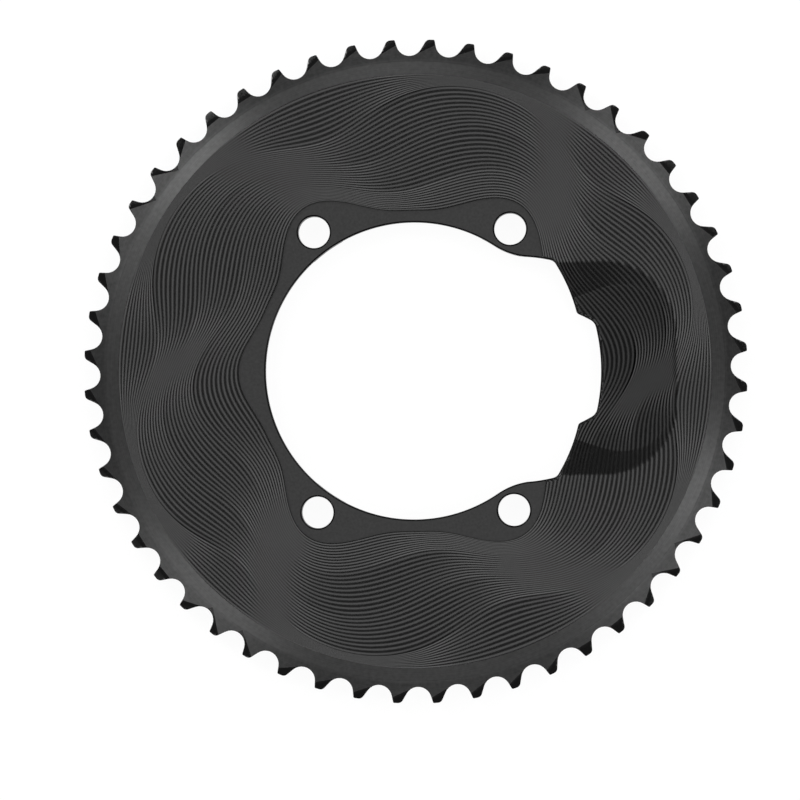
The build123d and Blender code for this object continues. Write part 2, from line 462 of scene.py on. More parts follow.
@dataclass
class MeshMaker:
    """Collects rows of points and the faces between them, and welds them into one mesh."""

    points: list[np.ndarray] = field(default_factory=list)
    row_marks: list[np.ndarray] = field(default_factory=list)
    # Painted light and shade of each row's points
    painted_tones: list[np.ndarray] = field(default_factory=list)
    faces: list[tuple[np.ndarray, Zone]] = field(default_factory=list)
    count: int = 0
    weld: float = 1e-5
    fill_weld: float = 1e-7
    sharp_angle: float = 40.0

    def row(
        self, points: np.ndarray, edge: Edge = Edge.BY_ANGLE, tone: np.ndarray | float = 0.0
    ) -> np.ndarray:
        """Adds a row of points.

        Args:
            points: Rows of x, y and z.
            edge: How the shading runs across the row.
            tone: Painted light and shade, as how much lighter or darker the colour is painted, from -1 to 1.

        Returns:
            The points' numbers.
        """
        numbers = np.arange(self.count, self.count + len(points))
        self.count += len(points)
        self.points.append(points)
        self.painted_tones.append(np.broadcast_to(tone, len(points)))
        self.row_marks.append(np.full(len(points), edge.value * len(self.points)))
        return numbers

    def join(self, first: np.ndarray, second: np.ndarray, zone: Zone) -> None:
        """Joins two closed rows of equal length by four-sided faces."""
        quads = np.stack([first, np.roll(first, -1), np.roll(second, -1), second], axis=1)
        self.faces.append((quads, zone))

    def ladder(self, rows: list[np.ndarray], zone: Zone) -> None:
        """Joins each closed row to the next."""
        for first, second in zip(rows, rows[1:]):
            self.join(first, second, zone)

    def stitch(self, first: np.ndarray, second: np.ndarray, zone: Zone) -> None:
        """Joins two closed rows of different lengths by triangles.

        Args:
            first: Numbers of one row, in order of angle.
            second: Numbers of the other row, in order of angle.
            zone: Finish of the faces.
        """
        placed = np.concatenate(self.points)
        one, two = bearing(placed[first]), bearing(placed[second])
        triangles, i, j = [], 0, 0
        while i < len(first) or j < len(second):
            here, there = first[i % len(first)], second[j % len(second)]
            next_one = one[i + 1] if i + 1 < len(first) else 360 + one[0] * (i < len(first))
            next_two = two[j + 1] if j + 1 < len(second) else 360 + two[0] * (j < len(second))
            if j >= len(second) or (i < len(first) and next_one <= next_two):
                triangles.append((here, first[(i + 1) % len(first)], there))
                i += 1
            else:
                triangles.append((here, second[(j + 1) % len(second)], there))
                j += 1
        self.faces.append((np.array(triangles), zone))

    def fill(
        self, outline: np.ndarray, cuts: list[np.ndarray], lines: list[np.ndarray], zone: Zone
    ) -> None:
        """Fills a region seen from above with triangles that follow given lines.

        Args:
            outline: Numbers of the outer loop.
            cuts: Numbers of the loops that are cut out of it.
            lines: Numbers of open lines inside that edges follow.
            zone: Finish of the faces.
        """
        placed = np.concatenate(self.points)
        closed = [outline, *cuts]
        used, places = np.unique(np.concatenate([*closed, *lines]), return_inverse=True)
        ends = np.cumsum([len(part) for part in [*closed, *lines]])[:-1]
        parts = np.split(places, ends)
        edges = []
        for index, part in enumerate(parts):
            following = np.roll(part, -1) if index < len(closed) else part[1:]
            edges += [(int(a), int(b)) for a, b in zip(part, following)]
        flat = [Vector((float(x), float(y))) for x, y in placed[used][:, :2]]
        result = delaunay_2d_cdt(flat, edges, [], INSIDE_EDGES, self.fill_weld, True)
        origins = [group[0] if group else -1 for group in result[3]]
        triangles = np.array([[origins[corner] for corner in face] for face in result[2]])
        triangles = triangles[(triangles >= 0).all(axis=1)]
        middles = placed[used][triangles][:, :, :2].mean(axis=1)
        keep = inside(middles, placed[outline][:, :2])
        for loop in cuts:
            keep &= ~inside(middles, placed[loop][:, :2])
        self.faces.append((used[triangles[keep]], zone))

    def piece(self, name: str, materials: list[bpy.types.Material]) -> bpy.types.Object:
        """Welds the points and makes the object.

        Args:
            name: Name of the object.
            materials: Its material slots, in the order of Zone.

        Returns:
            The new object, linked into the scene.
        """
        placed = np.concatenate(self.points)
        keys = np.round(placed / self.weld).astype(np.int64)
        _, first, group = np.unique(keys, axis=0, return_index=True, return_inverse=True)
        group = group.reshape(-1)
        marks = np.concatenate(self.row_marks)[first]
        faces, zones = [], []
        for block, zone in self.faces:
            for corners in group[block].tolist():
                kept = [c for i, c in enumerate(corners) if c != corners[i - 1]]
                if len(set(kept)) == len(kept) > 2:
                    faces.append(kept)
                    zones.append(zone.value)
        used = np.unique(np.concatenate(faces))
        renumber = np.zeros(len(first), dtype=int)
        renumber[used] = np.arange(len(used))
        mesh = bpy.data.meshes.new(name)
        mesh.from_pydata((placed[first][used] * MM).tolist(), [], [renumber[face].tolist() for face in faces])
        mesh.polygons.foreach_set("material_index", zones)
        mesh.polygons.foreach_set("use_smooth", [True] * len(faces))
        for material in materials:
            mesh.materials.append(material)
        shape = bmesh.new()
        shape.from_mesh(mesh)
        bmesh.ops.recalc_face_normals(shape, faces=shape.faces)
        open_edges = sum(1 for edge in shape.edges if len(edge.link_faces) != 2)
        shape.to_mesh(mesh)
        shape.free()
        self.sharpen(mesh, marks[used])
        # Painted light and shade of the points, kept as an attribute that the finish reads
        painted_tones = mesh.attributes.new(PAINTED_TONE, "FLOAT", "POINT")
        painted_tones.data.foreach_set("value", np.concatenate(self.painted_tones)[first][used].astype(np.float32))
        LOG.info("%s: %d faces, %d open edges", name, len(mesh.polygons), open_edges)
        made = bpy.data.objects.new(name, mesh)
        bpy.context.scene.collection.objects.link(made)
        return made

    def sharpen(self, mesh: bpy.types.Mesh, marks: np.ndarray) -> None:
        """Breaks the shading at corners and along sharp rows, and never along smooth ones.

        Args:
            mesh: The finished mesh.
            marks: Number of each vertex's row, above 0 if it is sharp, below 0 if it is smooth, or else 0.
        """
        mesh.set_sharp_from_angle(angle=math.radians(self.sharp_angle))
        ends = np.empty(len(mesh.edges) * 2, dtype=int)
        mesh.edges.foreach_get("vertices", ends)
        ends = ends.reshape(-1, 2)
        sharp = np.empty(len(mesh.edges), dtype=bool)
        attribute = mesh.attributes["sharp_edge"]
        attribute.data.foreach_get("value", sharp)
        row = np.where(marks[ends[:, 0]] == marks[ends[:, 1]], marks[ends[:, 0]], 0)
        sharp = (sharp & (row == 0)) | (row > 0)
        attribute.data.foreach_set("value", sharp)


@dataclass(frozen=True)
class WaveLines:
    """Wavy mill lines of the web: four groups of lines between the bolt land and the rim."""

    tracks: int = 4
    lines: int = 10
    waves: int = 6
    bolt_angle: float = 55.0
    rim_radius: float = 95.3
    depth: float = 11.1
    depth_dip: float = 2.4
    spacing: float = 10.77
    rim_gap: float = 2.5
    first_turn: float = 4.7
    twist: float = 7.7
    first_fullness: float = -2.0
    fullness_step: float = 9.5
    land_trough: float = 51.5
    land_crest: float = 61.3
    land_dip: float = 4.9
    land_sharpness: float = 1.5
    steepest: float = 36.0
    steep_pitch: float = 2.1
    painted_tone_pitch: float = 0.8
    plain_pitch: float = 1.15
    fine_pitch: float = 0.5
    finest_pitch: float = 0.3
    slope_step: float = 0.5

    def crest(self, angle: np.ndarray, fullness: float = 0.0) -> np.ndarray:
        """Height of the waves, with the crests drawn towards the bolts.

        Args:
            angle: Angles about the axis.
            fullness: How much broader the crests are than the troughs, as an angle.

        Returns:
            One height an angle, from 0 in a trough to 1 on a crest.
        """
        pull = (360 - self.waves * self.bolt_angle) / sin(2 * self.bolt_angle)
        phase = self.waves * angle + pull * sin(2 * angle)
        return (1 + cos(phase - fullness * sin(phase))) / 2

    def track(self, number: int, angle: np.ndarray) -> np.ndarray:
        """Radius of a wave track: 0 edges the bolt land, the last is the rim.

        Args:
            number: The track's number.
            angle: Angles about the axis.

        Returns:
            One radius an angle.
        """
        if number == 0:
            rise = self.land_crest - self.land_dip * cos(2 * angle) - self.land_trough
            return self.land_trough + rise * self.crest(angle) ** self.land_sharpness
        if number == self.tracks:
            return np.full_like(angle, self.rim_radius)
        turn = angle - self.first_turn - (number - 1) * self.twist
        depth = self.depth - self.depth_dip * cos(2 * turn)
        top = self.rim_radius - self.rim_gap - (self.tracks - 1 - number) * self.spacing
        fullness = self.first_fullness + (number - 1) * self.fullness_step
        return top - depth * (1 - self.crest(turn, fullness))

    def line(self, place: float, angle: np.ndarray) -> np.ndarray:
        """Radius of a line between two tracks.

        Args:
            place: Place of the line, where 1.5 is halfway from track 1 to track 2.
            angle: Angles about the axis.

        Returns:
            One radius an angle.
        """
        number = min(int(place), self.tracks - 1)
        share = place - number
        return self.track(number, angle) * (1 - share) + self.track(number + 1, angle) * share

    def pitch(self, place: float, angle: np.ndarray) -> np.ndarray:
        """Distance between neighbouring lines, square to them.

        Args:
            place: Place between two tracks.
            angle: Angles about the axis.

        Returns:
            One distance an angle.
        """
        number = min(int(place), self.tracks - 1)
        gap = (self.track(number + 1, angle) - self.track(number, angle)) / self.lines
        step = self.slope_step
        rise = self.line(place, angle + step) - self.line(place, angle - step)
        lean = np.arctan(rise / math.radians(2 * step) / self.line(place, angle))
        return np.maximum(gap, 0) * np.cos(lean)

    def valley(self, pitch: np.ndarray) -> np.ndarray:
        """Depth of the valley between two lines, whose flanks are steeper where the lines are far apart."""
        return pitch / 2 * tan(self.steepest * pitch / (pitch + self.steep_pitch))

    def tone(self, pitch: np.ndarray) -> np.ndarray:
        """How strongly the lines are painted, with painted shade on the cusps and painted highlight in the
        valleys, from 0 where they are far apart or merge to 1.
        """
        close = np.clip((self.plain_pitch - pitch) / (self.plain_pitch - self.painted_tone_pitch), 0, 1)
        return close * np.clip((pitch - self.finest_pitch) / (self.fine_pitch - self.finest_pitch), 0, 1)


@dataclass(frozen=True)
class Opening:
    """Centre opening: a round hole with a bay for the crank arm on +X."""

    radius: float = 47.7
    neck_lean: float = 8.0
    neck_round: float = 23.0
    horn: tuple[float, float] = (57.3, 37.3)
    horn_round: float = 3.0
    heel: tuple[float, float] = (55.5, 18.5)
    heel_round: float = 1.5
    notch: tuple[float, float] = (60.0, 14.3)
    notch_round: float = 3.5
    steps: int = 16

    def edge(self, angle: np.ndarray) -> np.ndarray:
        """Radius of the opening's edge.

        Args:
            angle: Angles about the axis.

        Returns:
            One radius an angle.
        """
        horn, heel, notch = (polar(*place) for place in (self.horn, self.heel, self.notch))
        along = polar(1, -self.neck_lean)
        upright = polar(1, 90 - self.neck_lean)
        reach = self.radius + self.neck_round
        lift = horn @ upright + self.neck_round
        centre = upright * lift + along * math.sqrt(reach**2 - lift**2)
        neck = arc(centre, centre * self.radius / reach, centre - upright * self.neck_round, self.steps)
        top = rounded(neck[-1], horn, heel, self.horn_round, self.steps)
        middle = rounded(horn, heel, notch, self.heel_round, self.steps)
        wall = (notch - heel) / np.linalg.norm(notch - heel)
        side = np.array([wall[1], -wall[0]])
        inner = self.notch[0] - self.notch_round
        drop = heel @ side + self.notch_round
        bay = side * drop + wall * math.sqrt(inner**2 - drop**2)
        low = arc(bay, bay - side * self.notch_round, bay * self.notch[0] / inner, self.steps)
        outline = np.concatenate([low[::-1], middle[::-1], top[::-1], neck[::-1]])
        places, radii = bearing(outline), np.linalg.norm(outline, axis=1)
        folded = np.abs((np.asarray(angle) + 180) % 360 - 180)
        return np.interp(folded, places, radii)


@dataclass(frozen=True)
class Pocket:
    """Shallow pocket beside the crank arm: a sloping floor between leaning walls."""

    reach: float = 82.8
    half_width: float = 32.8
    corner: float = 22.0
    end_depth: float = 0.2
    floor_slope: float = 2.8
    wall_slope: float = 8.5

    def height(self, points: np.ndarray, web: float) -> np.ndarray:
        """Height of the pocket's surface, which stands above the web outside the pocket.

        Args:
            points: Rows of x and y.
            web: Height of the web.

        Returns:
            One height a point.
        """
        end = web - self.end_depth
        floor = end + (points[:, 0] - self.reach) * tan(self.floor_slope)
        core = np.stack([points[:, 0] - (self.reach - self.corner),
                         np.abs(points[:, 1]) - (self.half_width - self.corner)], axis=1)
        past = np.linalg.norm(np.maximum(core, 0), axis=1) + np.minimum(core.max(axis=1), 0) - self.corner
        wall = end + past * tan(self.wall_slope)
        return np.where(points[:, 0] > 0, np.maximum(floor, wall), np.inf)


@dataclass(frozen=True)
class TipBevel:
    """Bevel across a tooth's tip: where it starts below the tip, how it leans, and how wide it is."""

    drop: float
    lean: float
    width: float


class ToothKind(Enum):
    """Kinds of tooth, by the bevel on the outer face."""

    COAST = TipBevel(2.1, -27.0, 8.4)
    GATE = TipBevel(2.9, 0.0, 9.0)
    DRIVE = TipBevel(1.3, 41.0, 12.0)


@dataclass(frozen=True)
class Teeth:
    """The ring of teeth: roller seats between two straight flanks, and bevelled tips."""

    count: int = 52
    gates: int = 4
    gate_places: tuple[int, ...] = (4, 5)
    drive_places: tuple[int, ...] = (7, 8)
    chain_pitch: float = 12.7
    roller: float = 7.75
    seat: float = 4.3
    tip_rise: float = 1.5
    drive_flank: float = 73.0
    coast_flank: float = 59.0
    drive_round: float = 0.45
    coast_round: float = 1.7
    bevel_slope: float = 18.0
    back_bevel: TipBevel = TipBevel(2.2, 0.0, 9.0)
    bevel_fade: float = 1.0
    bevel_blend: float = 0.7
    seat_steps: int = 10
    coast_steps: int = 6
    drive_steps: int = 4

    @property
    def step(self) -> float:
        """Angle from one tooth to the next."""
        return 360 / self.count

    @property
    def pitch_radius(self) -> float:
        """Radius of the chain rollers' centres."""
        return self.chain_pitch / (2 * sin(self.step / 2))

    @property
    def root_radius(self) -> float:
        """Radius of the bottoms of the roller seats."""
        return self.pitch_radius - self.roller / 2

    @property
    def tip_radius(self) -> float:
        """Radius of the tooth tips."""
        return self.pitch_radius + self.tip_rise

    def kind(self, number: int) -> ToothKind:
        """Kind of a tooth.

        Args:
            number: The tooth's number, counted from the +X axis.

        Returns:
            Its kind.
        """
        place = number % (self.count // self.gates)
        if place in self.gate_places:
            return ToothKind.GATE
        return ToothKind.DRIVE if place in self.drive_places else ToothKind.COAST

    def flank(self, slope: float, side: int) -> tuple[np.ndarray, np.ndarray]:
        """Foot and sharp tip of a flank of the gap on +X.

        Args:
            slope: Angle round the seat at which the flank leaves it.
            side: 1 for the flank above the X axis, -1 for the one below.

        Returns:
            The two points.
        """
        foot = np.array([self.root_radius + self.seat * (1 - cos(slope)), side * self.seat * sin(slope)])
        along = np.array([sin(slope), side * cos(slope)])
        half = foot @ along
        return foot, foot + along * (math.sqrt(half**2 - foot @ foot + self.tip_radius**2) - half)

    def gap(self) -> np.ndarray:
        """Outline of the gap on +X, from the tip on one side to the tip on the other.

        Returns:
            Its points as rows of x and y, in order of angle.
        """
        drive_foot, drive_tip = self.flank(self.drive_flank, 1)
        coast_foot, coast_tip = self.flank(self.coast_flank, -1)
        last_tip = spin(drive_tip, -self.step)
        next_tip = spin(coast_tip, self.step)
        middle = np.array([self.root_radius + self.seat, 0.0])
        fall = rounded(last_tip, coast_tip, coast_foot, self.coast_round, self.coast_steps)
        rise = rounded(drive_foot, drive_tip, next_tip, self.drive_round, self.drive_steps)
        seat = arc(middle, coast_foot, drive_foot, self.seat_steps)
        flank_middles = (fall[-1] + seat[0]) / 2, (seat[-1] + rise[0]) / 2
        return np.concatenate([fall, flank_middles[:1], seat, flank_middles[1:], rise])

    def outline(self) -> tuple[np.ndarray, np.ndarray]:
        """Outline of all the teeth.

        Returns:
            Its points in order of angle, and the number of the tooth that each belongs to.
        """
        gap = self.gap()
        points = np.concatenate([spin(gap, number * self.step) for number in range(self.count)])
        own = np.concatenate([np.where(gap[:, 1] > 0, number, number - 1) for number in range(self.count)])
        order = np.argsort(bearing(points))
        return points[order], own[order] % self.count

    def bevel(self, points: np.ndarray, tooth: np.ndarray, back: bool) -> np.ndarray:
        """Depth of the tip bevels, which start softly.

        Args:
            points: Rows of x and y.
            tooth: Number of each point's tooth.
            back: Whether it is the back's bevels.

        Returns:
            One depth a point.
        """
        drop, lean, width = self.cuts(tooth, back)
        radius = np.linalg.norm(points, axis=1)
        swing = bearing(points) - (tooth + 0.5) * self.step
        across, out = radius * sin(swing), radius * cos(swing) - self.tip_radius + drop
        past = out * cos(lean) - across * sin(lean)
        along = across * cos(lean) + out * sin(lean)
        share = np.clip((width / 2 - np.abs(along)) / self.bevel_fade, 0, 1)
        soft = np.clip(past + self.bevel_blend, 0, 2 * self.bevel_blend) ** 2 / (4 * self.bevel_blend)
        return (soft + np.maximum(past - self.bevel_blend, 0)) * share * tan(self.bevel_slope)

    def bevel_row(self, points: np.ndarray, tooth: np.ndarray, back: bool, past: float) -> np.ndarray:
        """Points on a line along the tip bevels, drawn back to an outline where the line runs outside it.

        Args:
            points: Outline of the teeth, as rows of x and y.
            tooth: Number of each point's tooth.
            back: Whether it is the back's bevels.
            past: How far the line lies past the middle of the bevel's soft start.

        Returns:
            The points, one for each of the outline's.
        """
        drop, lean, _ = self.cuts(tooth, back)
        angle = bearing(points)
        swing = angle - (tooth + 0.5) * self.step
        line = ((self.tip_radius - drop) * cos(lean) + past) / cos(swing + lean)
        return polar(np.minimum(line, np.linalg.norm(points, axis=1)), angle)

    def cuts(self, tooth: np.ndarray, back: bool) -> tuple[np.ndarray, np.ndarray, np.ndarray]:
        """Sizes of the bevel on each of the given teeth.

        Args:
            tooth: Numbers of the teeth.
            back: Whether it is the back's bevels.

        Returns:
            Drops, leans and widths, one each a tooth.
        """
        cuts = [self.back_bevel if back else self.kind(number).value for number in range(self.count)]
        table = np.array([(cut.drop, cut.lean, cut.width) for cut in cuts])[tooth]
        return table[:, 0], table[:, 1], table[:, 2]


@dataclass(frozen=True)
class PinPlaces:
    """Where the shift pins and the ramps before them are on the ring's back."""

    pin_diameter: float = 4.0
    pin_stand: float = 0.9
    pin_seat: float = 1.2
    pin_inset: float = 5.2
    pin_lead: float = 3.0
    pin_fit: float = 0.01
    ramp_length: float = 17.0
    ramp_width: float = 11.0
    ramp_slope: float = 3.0
    ramp_inset: float = 8.5

    def pins(self, teeth: Teeth) -> np.ndarray:
        """Centres of the pins, as rows of x and y."""
        start = (max(teeth.drive_places) + self.pin_lead) * teeth.step
        return polar(teeth.root_radius - self.pin_inset, start + 360 / teeth.gates * np.arange(teeth.gates))

    def ramp_angles(self, teeth: Teeth) -> np.ndarray:
        """Angles at which the ramps start."""
        return max(teeth.drive_places) * teeth.step + 360 / teeth.gates * np.arange(teeth.gates)


@dataclass(frozen=True)
class WebRow:
    """One row of the web: its radii, how far it lies below the web's top, its shading and its painted tone,
    which is painted highlight in a valley and painted shade on a cusp.
    """

    radius: np.ndarray
    depth: np.ndarray
    edge: Edge
    tone: np.ndarray


@dataclass
class Chainring:
    """The ring: wave-milled web, turned rim, bevelled teeth, bolt pads, opening and pocket."""

    finishes: dict[Zone, AnodisedFinish]
    web_top: float
    teeth: Teeth = Teeth()
    waves: WaveLines = WaveLines()
    opening: Opening = Opening()
    pocket: Pocket = Pocket()
    pins: PinPlaces = PinPlaces()
    tooth_thickness: float = 2.1
    pad_height: float = 1.4
    pad_radius: float = 9.2
    pad_draft: float = 0.2
    land_drop: float = 0.35
    land_edge: float = 0.12
    # Painted shade: how much darker the pocket's floor and walls are coloured
    painted_pocket_shade: float = 0.54
    rim_land: float = 1.75
    back_land: float = 1.0
    rim_line_width: float = 0.14
    rim_line_depth: float = 0.03
    bolt_radius: float = 55.0
    bolt_hole: float = 10.2
    edge_break: float = 0.50
    tooth_break: float = 0.12
    wall_draft: float = 0.15
    pin_mouth: float = 0.05
    fine_step: float = 0.3
    coarse_step: float = 0.75
    fine_reach: float = 45.0
    hole_steps: int = 72
    pin_steps: int = 40
    maker: MeshMaker = field(init=False)
    columns: np.ndarray = field(init=False)
    rim_points: np.ndarray = field(init=False)
    rim_tooth: np.ndarray = field(init=False)
    bolts: np.ndarray = field(init=False)
    edge_points: np.ndarray = field(init=False)
    brink: np.ndarray = field(init=False)
    brink_points: np.ndarray = field(init=False)

    def __post_init__(self) -> None:
        """Works out the lines that the outer face and the back share."""
        self.maker = MeshMaker()
        self.columns = np.concatenate([
            np.arange(0, self.fine_reach, self.fine_step),
            np.arange(self.fine_reach, 360 - self.fine_reach, self.coarse_step),
            np.arange(360 - self.fine_reach, 360 - self.fine_step / 2, self.fine_step),
        ])
        self.rim_points, self.rim_tooth = self.teeth.outline()
        angle = self.waves.bolt_angle
        self.bolts = polar(self.bolt_radius, np.array([angle, -angle, angle + 180, 180 - angle]))
        edge = self.opening.edge(self.columns)
        slope = np.gradient(edge, np.radians(self.columns)) / edge
        self.edge_points = polar(edge, self.columns)
        self.brink = edge + self.edge_break * np.sqrt(1 + slope**2)
        self.brink_points = polar(self.brink, self.columns)

    def build(self) -> bpy.types.Object:
        """Builds the ring and dresses it.

        Returns:
            The ring's object.
        """
        front_walls, front_edge = self.front()
        back_walls, back_edge = self.back()
        for front, back in zip([*front_walls, front_edge], [*back_walls, back_edge]):
            self.maker.join(front, back, Zone.BEVELLED)
        made = self.maker.piece("aero_chainring", [self.finishes[zone].material() for zone in Zone])
        self.dress(made)
        return made

    def dress(self, made: bpy.types.Object) -> None:
        """Puts the ring in place of its CAD node.

        Args:
            made: The ring's object.
        """
        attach(made, BODY)
        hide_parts("chainring")

    def raised(self, points: np.ndarray, height: np.ndarray | float) -> np.ndarray:
        """Points given as x and y, with a height each."""
        return np.column_stack([points, np.broadcast_to(height, len(points))])

    def web_height(self, points: np.ndarray) -> np.ndarray:
        """Height of the web's cusps, or of the pocket where that is lower."""
        return np.minimum(self.web_top, self.pocket.height(points, self.web_top))

    def front(self) -> tuple[list[np.ndarray], np.ndarray]:
        """Builds the outer face.

        Returns:
            The upper rows of the walls of the opening and the bolt holes, and the teeth's upper edge.
        """
        make, land = self.maker, self.web_top - self.land_drop
        on_land = self.waves.track(0, self.columns) > self.brink
        brink_height = np.where(on_land, land, self.web_height(self.brink_points))
        brink_row = make.row(self.raised(self.brink_points, brink_height))
        wall_row = make.row(self.raised(self.edge_points, brink_height - self.edge_break))
        make.join(wall_row, brink_row, Zone.EDGE)
        rows = [self.web_row(row, brink_height) for row in self.web_rows()]
        make.ladder(rows[:2], Zone.LAND)
        make.ladder(rows[1:], Zone.MILLED)
        span = np.flatnonzero(on_land)
        first, last = span[0], span[-1]
        inner = brink_row[first - 1:last + 2]
        outer = rows[0][first:last + 1][::-1]
        mouths, walls = [], [wall_row]
        for bolt in self.bolts:
            mouth, wall = self.hole_edge(bolt, land, land - self.edge_break, Zone.EDGE)
            mouths.append(mouth)
            walls.append(wall)
        make.fill(np.concatenate([inner, outer]), mouths, [], Zone.LAND)
        return walls, self.front_teeth(rows[-1])

    def hole_edge(
        self, bolt: np.ndarray, face: float, depth: float, zone: Zone
    ) -> tuple[np.ndarray, np.ndarray]:
        """Adds the broken edge of a bolt hole on one face.

        Args:
            bolt: Centre of the hole.
            face: Height of the hole's mouth.
            depth: Height at which the hole's wall starts.
            zone: Finish of the broken edge.

        Returns:
            Numbers of the mouth's row and of the wall's row.
        """
        around = np.linspace(0, 360, self.hole_steps, endpoint=False)
        mouth_circle = bolt + polar(self.bolt_hole / 2 + self.edge_break, around)
        mouth = self.maker.row(self.raised(mouth_circle, face))
        wall = self.maker.row(self.raised(bolt + polar(self.bolt_hole / 2, around), depth))
        self.maker.join(mouth, wall, zone)
        return mouth, wall

    def web_rows(self) -> list[WebRow]:
        """Works out the rows of the web.

        Returns:
            The rows from the bolt land out to the rim.
        """
        waves, edge = self.waves, self.waves.track(0, self.columns)
        flat = np.zeros_like(edge)
        rows = [
            WebRow(edge, flat + self.land_drop, Edge.SHARP, flat),
            WebRow(edge + self.land_edge, flat, Edge.SHARP, flat),
        ]
        halves = 2 * waves.lines
        for number in range(1, waves.tracks * halves + 1):
            place = number / halves
            pitch = waves.pitch(place, self.columns)
            radius, tone = waves.line(place, self.columns), waves.tone(pitch)
            # Valley rows get painted highlight and cusp rows get painted shade, where the lines are close
            if number % 2:
                rows.append(WebRow(radius, waves.valley(pitch), Edge.SMOOTH, tone))
            else:
                rows.append(WebRow(radius, flat, Edge.SHARP, -tone))
        return rows

    def web_row(self, row: WebRow, brink_height: np.ndarray) -> np.ndarray:
        """Adds one row of the web, drawn back to the opening's edge where the opening cuts it, with painted
        shade where it lies in the pocket.

        Args:
            row: The row.
            brink_height: Height of the opening's edge.

        Returns:
            The row's numbers.
        """
        cut = row.radius <= self.brink
        points = polar(np.where(cut, self.brink, row.radius), self.columns)
        web = self.web_height(points)
        height = np.where(cut, brink_height, web - row.depth)
        # Painted shade: points in the pocket, where the web lies lower, are coloured darker on top of the
        # mill lines' painted light and shade
        tone = row.tone - self.painted_pocket_shade * (web < self.web_top)
        return self.maker.row(self.raised(points, height), row.edge, tone)

    def front_teeth(self, rim: np.ndarray) -> np.ndarray:
        """Builds the turned band and the outer faces of the teeth.

        Args:
            rim: Numbers of the web's outermost row.

        Returns:
            Numbers of the teeth's upper edge.
        """
        make, top = self.maker, self.pad_height + self.tooth_thickness
        band = self.teeth.root_radius - self.rim_land
        angles = bearing(self.rim_points)
        rows = []
        for offset, depth in ((-1, 0.0), (0, self.rim_line_depth), (1, 0.0)):
            ring = polar(band + offset * self.rim_line_width, angles)
            rows.append(make.row(self.raised(ring, top - depth), Edge.SHARP))
        make.stitch(rim, rows[0], Zone.TURNED)
        lines = self.tooth_rows(False)
        make.ladder([*rows, lines[0]], Zone.TURNED)
        make.ladder(lines[:-1], Zone.BEVELLED)
        make.ladder(lines[-2:], Zone.EDGE)
        return lines[-1]

    def tooth_rows(self, back: bool) -> list[np.ndarray]:
        """Adds the rows of the tip bevels and of the teeth's broken edge on one face.

        Args:
            back: Whether it is the back face.

        Returns:
            The rows' numbers, from the inside out.
        """
        face = self.pad_height if back else self.pad_height + self.tooth_thickness
        inwards = 1 if back else -1
        inset = self.inset_outline(self.tooth_break)
        blend = self.teeth.bevel_blend
        lines = [self.teeth.bevel_row(inset, self.rim_tooth, back, past) for past in (-blend, 0.0, blend)]
        rows = []
        shading = (Edge.SHARP, Edge.BY_ANGLE, Edge.BY_ANGLE, Edge.SHARP)
        for line, edge in zip((*lines, inset), shading):
            depth = self.teeth.bevel(line, self.rim_tooth, back)
            rows.append(self.maker.row(self.raised(line, face + inwards * depth), edge))
        depth = self.teeth.bevel(self.rim_points, self.rim_tooth, back) + self.tooth_break
        rows.append(self.maker.row(self.raised(self.rim_points, face + inwards * depth), Edge.SHARP))
        return rows

    def inset_outline(self, inset: float) -> np.ndarray:
        """Draws the outline of the teeth in.

        Args:
            inset: How far it is drawn in.

        Returns:
            Its points as rows of x and y.
        """
        along = np.roll(self.rim_points, -1, axis=0) - np.roll(self.rim_points, 1, axis=0)
        along /= np.linalg.norm(along, axis=1, keepdims=True)
        return self.rim_points - inset * np.column_stack([along[:, 1], -along[:, 0]])

    def back_height(self, points: np.ndarray) -> np.ndarray:
        """Height of the back face, with its pads, ramps and pin holes.

        Args:
            points: Rows of x and y.

        Returns:
            One height a point.
        """
        height = np.full(len(points), self.pad_height)
        for bolt in self.bolts:
            reach = np.linalg.norm(points - bolt, axis=1)
            height -= self.pad_height * np.clip((self.pad_radius - reach) / self.pad_draft, 0, 1)
        for angle in self.pins.ramp_angles(self.teeth):
            place = spin(points, -angle) - np.array([self.teeth.root_radius - self.pins.ramp_inset, 0])
            side = np.clip((self.pins.ramp_width / 2 - np.abs(place[:, 0])) / self.wall_draft, 0, 1)
            end = np.clip((self.pins.ramp_length - place[:, 1]) / self.wall_draft, 0, 1)
            height += np.maximum(place[:, 1], 0) * tan(self.pins.ramp_slope) * np.minimum(side, end)
        for pin in self.pins.pins(self.teeth):
            reach = np.linalg.norm(points - pin, axis=1) - self.pins.pin_diameter / 2 - self.pins.pin_fit
            height += self.pins.pin_seat * np.clip(1 - reach / self.pin_mouth, 0, 1)
        return height

    def back(self) -> tuple[list[np.ndarray], np.ndarray]:
        """Builds the back face.

        Returns:
            The lower rows of the walls of the opening and the bolt holes, and the teeth's lower edge.
        """
        make = self.maker
        brink_height = self.back_height(self.brink_points)
        brink_row = make.row(self.raised(self.brink_points, brink_height))
        wall_row = make.row(self.raised(self.edge_points, brink_height + self.edge_break))
        make.join(wall_row, brink_row, Zone.BEVELLED)
        cuts, lines, walls = [brink_row], [], [wall_row]
        for bolt in self.bolts:
            mouth, wall = self.hole_edge(bolt, 0.0, self.edge_break, Zone.BEVELLED)
            cuts.append(mouth)
            walls.append(wall)
            for radius in (self.pad_radius, self.pad_radius - self.pad_draft):
                lines.append(self.pad_line(bolt, radius, brink_row))
        lines += self.ramp_lines() + self.pin_lines()
        band = polar(self.teeth.root_radius - self.back_land, bearing(self.rim_points))
        ring_row = make.row(self.raised(band, self.pad_height))
        make.fill(ring_row, cuts, lines, Zone.PLAIN)
        rows = self.tooth_rows(True)
        make.ladder([ring_row, rows[0]], Zone.PLAIN)
        make.ladder(rows, Zone.BEVELLED)
        return walls, rows[-1]

